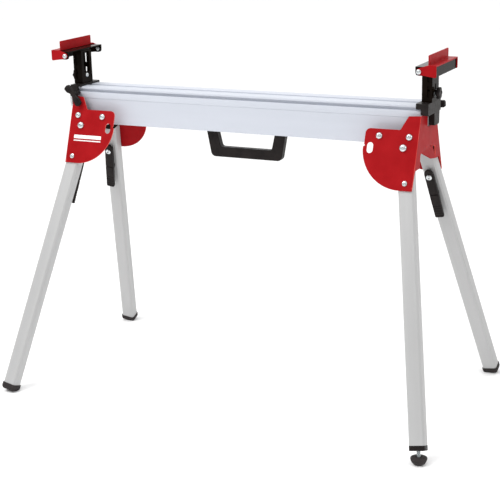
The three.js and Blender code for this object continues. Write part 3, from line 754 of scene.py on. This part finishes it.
def foot_cap(corner, place, body):
    """A short cap with a rounded lip and a domed sole that stands flat on the floor."""
    bottom = FOOT.clear - LEG.reach
    top = bottom + FOOT.high
    socket = FOOT.tube_up - GAP - LEG.reach
    rings = []
    steps = 8
    for i in range(steps + 1):
        angle = math.pi / 2 * i / steps
        inset = FOOT.inset * (1 - math.sin(angle))
        rounding = max(FOOT.corner - inset * 0.3, 2.5)
        up = FOOT.dome * (1 - math.cos(angle))
        rings.append(leg_ring(FOOT.over - inset, rounding, bottom + up))
    rings += [
        leg_ring(FOOT.over, FOOT.corner, top - 0.8),
        leg_ring(FOOT.over - 0.3, FOOT.corner - 0.2, top - 0.2),
        leg_ring(FOOT.over - 0.6, FOOT.corner - 0.4, top),
        leg_ring(GAP, 4.2, top),
        leg_ring(GAP, 4.2, socket),
    ]
    bm = bmesh.new()
    loft(bm, rings)
    bm.transform(place)
    stand_flat(bm)
    node = f"foot_cap_{corner}"
    make(f"{node}_body", bm, HERE, [RUBBER], body, [node])


def between(points, z):
    """The value at z along a list of (z, value) that runs down."""
    for (z0, a), (z1, b) in zip(points, points[1:]):
        if z >= z1:
            return a + (b - a) * (z - z0) / (z1 - z0)
    return points[-1][1]


def lever_width(z):
    """Half the lever's width: round at the top, and a little narrower at the tip."""
    if z > LEVER.round_end:
        past = (z - LEVER.round_end) / 14.5
        return max(LEVER.half * math.sqrt(max(0.0, 1 - past**2)), 3)
    if z < LEVER.tip + 3:
        return LEVER.half - (LEVER.tip + 3 - z) * 0.5
    return LEVER.half


def lever_face(z):
    """The thumb side of the lever, with a step below the screw and finger ribs on the paddle."""
    y = between(LEVER_OUTER, z)
    start, end = LEVER.ribs
    if end < z < start:
        y -= 0.6 * (1 - math.cos(2 * math.pi * LEVER.rib_count * (z - start) / (end - start)))
    if LEVER.step[0] < z < LEVER.step[1]:
        y -= 2.0
    return y


def lock_lever(corner, place, body):
    """A moulded lever with a barrel across it, and the screw that it turns on."""
    heights = [LEVER.top, -78.4, -79.2, -80.5, -82, -84, -86.5, -89.5, LEVER.round_end, -110, -130]
    heights += [-148.7, -149.1, -151.3, -151.7, -160, -170]
    start, end = LEVER.ribs
    steps = LEVER.rib_count * 10
    heights += [start + (end - start) * i / steps for i in range(steps + 1)]
    heights += [-215.5, -216.6, LEVER.tip]
    rings = []
    for z in heights:
        wide = lever_width(z)
        low = between(LEVER_INNER, z)
        high = lever_face(z)
        trim = 1.0 if z in (LEVER.top, LEVER.tip) else 0
        corner_radius = min(2.2, wide * 0.6, (high - low) * 0.35)
        outline = box_outline(-wide, low + trim, wide, high - trim, corner_radius, 4)
        rings.append([Vector((x, y, z)) for x, y in outline])
    bm = bmesh.new()
    loft(bm, rings)
    barrel = [(7.2, 0), (7.6, 0.4), (7.6, 18.6), (7.2, 19)]
    turned(bm, barrel, (-9.5, 24, LEVER.barrel), (1, 0, 0))
    node = f"lock_lever_{corner}"
    make(f"{node}_body", bm, place, [PLASTIC], body, [node])
    bm = bmesh.new()
    screw = [(3, -6), (3, 0)] + dome(*CAPS["screw"])
    turned(bm, screw, (0, 30.7, LEVER.screw), (0, 1, -0.06))
    make(f"lever_screw_{corner}", bm, place, [ZINC], body)


def level_plug(place):
    """The plug in the end of the front right leg, with moulded ribs that stand out round it."""
    end = LEVEL.tube_up - LEG.reach
    seat = end - GAP
    low = seat - LEVEL.plug
    bm = bmesh.new()
    rings = [leg_ring(-1.2, 3.2, low), leg_ring(-0.3, 3.8, low + 0.5), leg_ring(0, 4, low + 1.4)]
    rings += [leg_ring(0, 4, seat - 1.0), leg_ring(-0.5, 3.6, seat), leg_ring(-2.3, 2, seat)]
    rings += [leg_ring(-2.3, 2, end + 14)]
    loft(bm, rings)
    for side in (-1, 1):
        for x in (-9, 0, 9):
            y = sorted((side * (LEG.half_y - 1), side * (LEG.half_y + 0.5)))
            prism(bm, [box_outline(x - 3, y[0], x + 3, y[1], 0.4, 3)], "Z", low + 1.6, seat - 1.2)
    node = "foot_collar_front_right"
    make("foot_plug_body", bm, place, [PLASTIC], "leg_front_right", [node])


def level_foot(place):
    """The levelling foot: a threaded stud in the plug, and a round pad that stands level."""
    low = LEVEL.stud_low - LEG.reach
    length = LEVEL.stud_high - LEVEL.stud_low
    thread = [(4.0, 0)]
    for i in range(int(length / LEVEL.pitch)):
        thread += [(4.2, 0.4 + i * LEVEL.pitch), (5.0, 1.1 + i * LEVEL.pitch)]
    thread.append((4.0, length))
    bm = bmesh.new()
    turned(bm, thread, (0, 0, low), (0, 0, 1), 28)
    make("level_stud_body", bm, place, [ZINC], "level_foot", ["level_stud"], 25)
    meet = place @ Vector((0, 0, low))
    sole = [(8.6, 0), (9.6, 0.2), (12, 1), (14.4, 2.6), (16.6, 4.9), (18.4, 7.6), (19.6, 10.4)]
    rim = [(20.5, 13.4), (20.9, 15.2), (20.7, 16.3), (19.8, 16.9)]
    crown = [(16, 17.6), (11.6, 18.4), (10.2, 19.4), (9.2, 20.4)]
    well = [(6.6, 20.5), (5.6, 20), (5.5, 14.6)]
    bm = bmesh.new()
    turned(bm, sole + rim + crown + well, (meet.x, meet.y, 0), (0, 0, 1), 48)
    node = "level_foot"
    make("level_foot_body", bm, HERE, [RUBBER], "level_foot", [node])


def legs():
    for end_name, end in ENDS.items():
        for side_name, side in SIDES.items():
            corner = f"{side_name}_{end_name}"
            place = leg_frame(end, side)
            bracket_place = leaning(end, side)
            body = f"leg_{corner}"
            levels = corner == "front_right"
            tube_up = LEVEL.tube_up if levels else FOOT.tube_up
            leg_tube(corner, place, body, tube_up - LEG.reach)
            lock_lever(corner, place, f"lever_{corner}")
            paint(f"lock_pin_{corner}", ZINC)
            plate_bolts(corner, bracket_place)
            pivot_bolt(corner, bracket_place)
            lock_bush(corner, bracket_place)
            if levels:
                level_plug(place)
                level_foot(place)
            else:
                foot_cap(corner, place, body)


# ---- carry handle -------------------------------------------------------------------------------
def carry_handle():
    outer = [
        (-HANDLE.top_half, HANDLE.top),
        (-HANDLE.low_half, HANDLE.low, 14),
        (HANDLE.low_half, HANDLE.low, 14),
        (HANDLE.top_half, HANDLE.top),
    ]
    hand = [
        (HANDLE.hand_top, HANDLE.top),
        (HANDLE.hand_low, HANDLE.hand_z, 8),
        (-HANDLE.hand_low, HANDLE.hand_z, 8),
        (-HANDLE.hand_top, HANDLE.top),
    ]
    bm = bmesh.new()
    prism(bm, [rounded(outer + hand, 8)], "Y", -HANDLE.half_y, HANDLE.half_y)
    node = "carry_handle"
    obj = make("carry_handle_grip", bm, HERE, [PLASTIC], "frame", [node])
    soften(obj, 2.2, 4)
    reach = (HANDLE.top_half + PAD.past, HANDLE.hand_top - PAD.past)
    for sign, name in ((-1, "left"), (1, "right")):
        x0, x1 = sorted(sign * x for x in reach)
        bm = bmesh.new()
        pad = box_outline(x0, -PAD.half_y, x1, PAD.half_y, 5)
        prism(bm, [pad], "Z", HANDLE.top - PAD.high, HANDLE.top)
        obj = make(f"carry_handle_pad_{name}", bm, HERE, [PLASTIC], "frame")
        soften(obj, 1.0, 3)


# ---- work supports ------------------------------------------------------------------------------
def clamp_knob(name, place, body, node):
    """A lobed knob from steps (distance, share of its radius), on a round boss."""
    boss = [(0, 0.55), (1.9, 0.55)]
    rim = [(2.0, 0.80), (2.4, 0.93), (3.5, 1.0), (9.0, 1.0), (10.7, 0.94), (11.5, 0.80)]
    well = [(11.5, 0.55), (10.7, 0.48), (10.7, 0.2)]
    sides = 72
    rings = []
    for steps, depth in ((boss, 0), (rim, KNOB.lobe_depth), (well, 0)):
        for out, share in steps:
            ring = []
            for i in range(sides):
                angle = 2 * math.pi * i / sides
                radius = (KNOB.radius - depth * (1 - math.cos(KNOB.lobes * angle))) * share
                y = radius * math.cos(angle)
                z = radius * math.sin(angle)
                ring.append(Vector((KNOB.x + out, y, CLAMP.z + z)))
            rings.append(ring)
    bm = bmesh.new()
    loft(bm, rings)
    make(name, bm, place, [PLASTIC], body, [node], 50)


def clamp_bolt(name, place, body, node):
    """The clamp's bolt, and the washer under its knob."""
    pin = PIN_RADIUS["clamp"]
    washer = [(8.8, 0), (9, 0.2), (9, 1.5), (8.8, 1.7)]
    bm = bmesh.new()
    bolt = [(pin, -32), (pin, 0)] + dome(*CAPS["small"])
    turned(bm, bolt, (CLAMP.head_x, 0, CLAMP.z), (-1, 0, 0))
    turned(bm, washer, (CLAMP.washer_x, 0, CLAMP.z), (1, 0, 0))
    make(name, bm, place, [ZINC], body, [node])


def hinge_bolts(end_name, end, place, body):
    pin = PIN_RADIUS["hinge"]
    bolt = [(pin, -9.8), (pin, 0)] + dome(*CAPS["small"])
    for side_name, side in SIDES.items():
        sign = side * end
        bm = bmesh.new()
        turned(bm, bolt, (HINGE.x, sign * HINGE.head_y, HINGE.z), (0, sign, 0))
        hex_nut(bm, (HINGE.x, sign * HINGE.nut_y, HINGE.z), (0, -sign, 0), 6, 3.7)
        node = f"hinge_bolt_{side_name}_{end_name}"
        make(f"{node}_body", bm, place, [ZINC], body, [node])


def paddle(bm, length, angle, corner):
    """One moulded paddle from the hub, with raised finger ribs near its end."""
    half = [(-4, 5), (8, 5, 5), (16, 9, 6), (length, 9, corner)]
    blade = rounded([(c[0], -c[1], *c[2:]) for c in half] + half[::-1], 6)
    part = bmesh.new()
    prism(part, [blade], "Y", LOCK_BAR.y0, LOCK_BAR.y1)
    for i in range(4):
        x = length - 6 - i * 4.4
        rib = box_outline(x - 0.9, -6, x + 0.9, 6, 0.8, 3)
        prism(part, [rib], "Y", LOCK_BAR.y1 - 0.6, LOCK_BAR.y1 + 0.8)
    part.transform(Matrix.Rotation(-angle, 4, "Y"))
    mesh = bpy.data.meshes.new("paddle")
    part.to_mesh(mesh)
    part.free()
    bm.from_mesh(mesh)
    bpy.data.meshes.remove(mesh)


def bent_rod(bm):
    """The plated rod behind the paddles: it leaves the hub outboard and is bent down."""
    radius = LOCK_BAR.rod_radius
    bend = 7
    turns = [i * math.pi / 12 for i in range(7)]
    path = [(0, -4, radius), (4, -4, radius)]
    path += [(8 + bend * math.sin(t), bend * math.cos(t) - 11, radius) for t in turns]
    path += [(13.5, -34, radius), (13.4, -35.5, radius * 0.6)]
    sides = 20
    level = Vector((0, 1, 0))
    rings = []
    for i, (x, z, r) in enumerate(path):
        before = path[max(i - 1, 0)]
        after = path[min(i + 1, len(path) - 1)]
        along = Vector((after[0] - before[0], 0, after[1] - before[1])).normalized()
        across = level.cross(along)
        ring = []
        for j in range(sides):
            angle = 2 * math.pi * j / sides
            spoke = across * math.cos(angle) + level * math.sin(angle)
            ring.append(Vector((x, LOCK_BAR.rod_y, z)) + spoke * r)
        rings.append(ring)
    loft(bm, rings)


def lock_handle(name, place, body, node, tilt):
    """Two moulded paddles in a wide V on a hub, with a bent plated rod behind them."""
    at = place @ Matrix.Translation((LOCK_BAR.x, 0, LOCK_BAR.z))
    bm = bmesh.new()
    paddle(bm, LOCK_BAR.short, tilt, 5)
    paddle(bm, LOCK_BAR.long, tilt + LOCK_BAR.spread, 8)
    obj = make(name, bm, at, [PLASTIC], body, [node])
    soften(obj, 1.4, 3)
    hub = [(6, 0), (6, 22), (7.4, 23), (7.4, 31.5), (6.6, 33), (3, 33.2)]
    bm = bmesh.new()
    turned(bm, hub, (0, LOCK_BAR.hub_y, 0), (0, 1, 0))
    make(f"{name}_hub", bm, at, [PLASTIC], body)
    bm = bmesh.new()
    bent_rod(bm)
    make(f"{name}_rod", bm, at, [ZINC], body)


# The pieces that keep their CAD shape: node, name, body, material, slot and rounding.
FROM_CAD = [
    ("carriage", "carriage_body", "arm", PLASTIC, "black_plastic", 0.8, 3),
    ("mast", "mast_tube", "arm", BLACK, "black_paint", 0.7, 2),
    ("head", "head_sheet", "head", BLACK, "black_paint", 0.7, 2),
    ("stop", "stop_sheet", "stop", RED, "red_paint", 0.7, 3),
]


def supports():
    for end_name, end in ENDS.items():
        place = support_frame(end)
        paint(f"arm_{end_name}", ARM_METAL)
        for node, name, body, material, slot, width, segments in FROM_CAD:
            names = [f"{part}_{end_name}" for part in (node, name, body)]
            obj = from_cad(names[0], names[1], [material], names[2])
            soften(obj, width, segments)
        head = f"head_{end_name}"
        knob = f"clamp_knob_body_{end_name}"
        bolt = f"clamp_bolt_body_{end_name}"
        lock = f"lock_handle_body_{end_name}"
        tilt = LOCK_BAR.tilt[end_name]
        clamp_knob(knob, place, f"knob_{end_name}", f"clamp_knob_{end_name}")
        clamp_bolt(bolt, place, head, f"clamp_bolt_{end_name}")
        hinge_bolts(end_name, end, place, head)
        lock_handle(lock, place, f"lock_{end_name}", f"lock_handle_{end_name}", tilt)


# ---- studio -------------------------------------------------------------------------------------
def camera():
    """The photograph's viewing angle, fitted to the beam, brackets and feet."""
    azimuth = math.radians(26.1375)
    elevation = math.radians(16.3679)
    roll = math.radians(-1.4153)
    place = (1.480669, -3.016456, 1.375481)
    level = math.cos(elevation)
    back = Vector((math.sin(azimuth) * level, -math.cos(azimuth) * level, math.sin(elevation)))
    right = (-back).cross(Vector((0, 0, 1))).normalized()
    up = right.cross(-back)
    x_axis = right * math.cos(roll) + up * math.sin(roll)
    y_axis = up * math.cos(roll) - right * math.sin(roll)
    data = bpy.data.cameras.new("camera")
    data.sensor_width = 36
    data.lens = 91.18
    obj = bpy.data.objects.new("camera", data)
    turn = Matrix((x_axis, y_axis, back)).transposed().to_4x4()
    obj.matrix_world = Matrix.Translation(place) @ turn
    bpy.context.scene.collection.objects.link(obj)
    bpy.context.scene.camera = obj


def area_light(name, place, target, size, power):
    data = bpy.data.lights.new(name, "AREA")
    data.shape = "RECTANGLE"
    data.size = size[0]
    data.size_y = size[1]
    data.energy = power
    obj = bpy.data.objects.new(name, data)
    aim = (Vector(target) - Vector(place)).to_track_quat("-Z", "Y")
    obj.matrix_world = Matrix.Translation(place) @ aim.to_matrix().to_4x4()
    bpy.context.scene.collection.objects.link(obj)


def floor():
    made = Shader("floor_paper").set(Specular_IOR_Level=0.2)
    made.colour(made.noise(3.0, 2.0), (0.95, 0.95, 0.95, 1), (0.97, 0.97, 0.97, 1))
    made.roughness(made.noise(40.0, 2.0), 0.7, 0.8)
    bm = bmesh.new()
    size = 60
    corners = [(-size, -size, 0), (size, -size, 0), (size, size, 0), (-size, size, 0)]
    bm.faces.new([bm.verts.new(corner) for corner in corners])
    mesh = bpy.data.meshes.new("floor")
    bm.to_mesh(mesh)
    bm.free()
    mesh.materials.append(made.material)
    obj = bpy.data.objects.new("floor", mesh)
    bpy.context.scene.collection.objects.link(obj)


def sky():
    """Bright above and behind the stand, dimmer in front, so painted fronts keep their colour."""
    world = bpy.data.worlds.new("studio")
    world.use_nodes = True
    nodes = world.node_tree.nodes
    links = world.node_tree.links
    direction = nodes.new("ShaderNodeTexCoord")
    split = nodes.new("ShaderNodeSeparateXYZ")
    links.new(direction.outputs["Generated"], split.inputs["Vector"])
    parts = []
    grades = {"Y": (0.2, 0.85, 0.65, 1.4), "Z": (0.5, 0.95, 0.65, 1.3)}
    for axis, limits in grades.items():
        grade = nodes.new("ShaderNodeMapRange")
        for name, value in zip(("From Min", "From Max", "To Min", "To Max"), limits):
            grade.inputs[name].default_value = value
        links.new(split.outputs[axis], grade.inputs["Value"])
        parts.append(grade.outputs["Result"])
    brighter = nodes.new("ShaderNodeMath")
    brighter.operation = "MAXIMUM"
    links.new(parts[0], brighter.inputs[0])
    links.new(parts[1], brighter.inputs[1])
    links.new(brighter.outputs["Value"], nodes["Background"].inputs["Strength"])
    nodes["Background"].inputs["Color"].default_value = (1.0, 1.0, 1.0, 1.0)
    bpy.context.scene.world = world


def studio():
    sky()
    area_light("key", (-1.6, -2.2, 3.8), (0, 0, 0.5), (2.4, 2.4), 98)
    area_light("side", (3.0, -0.4, 2.2), (0, 0, 0.6), (1.6, 1.6), 12)
    view = bpy.context.scene.view_settings
    view.view_transform = "Standard"
    view.look = "None"


# ---- the stand ----------------------------------------------------------------------------------
camera()
studio()
floor()
beam()
brackets()
plate_bars()
legs()
carry_handle()
supports()
paint("saddle_right", BLACK)
paint("saddle_left", BLACK)
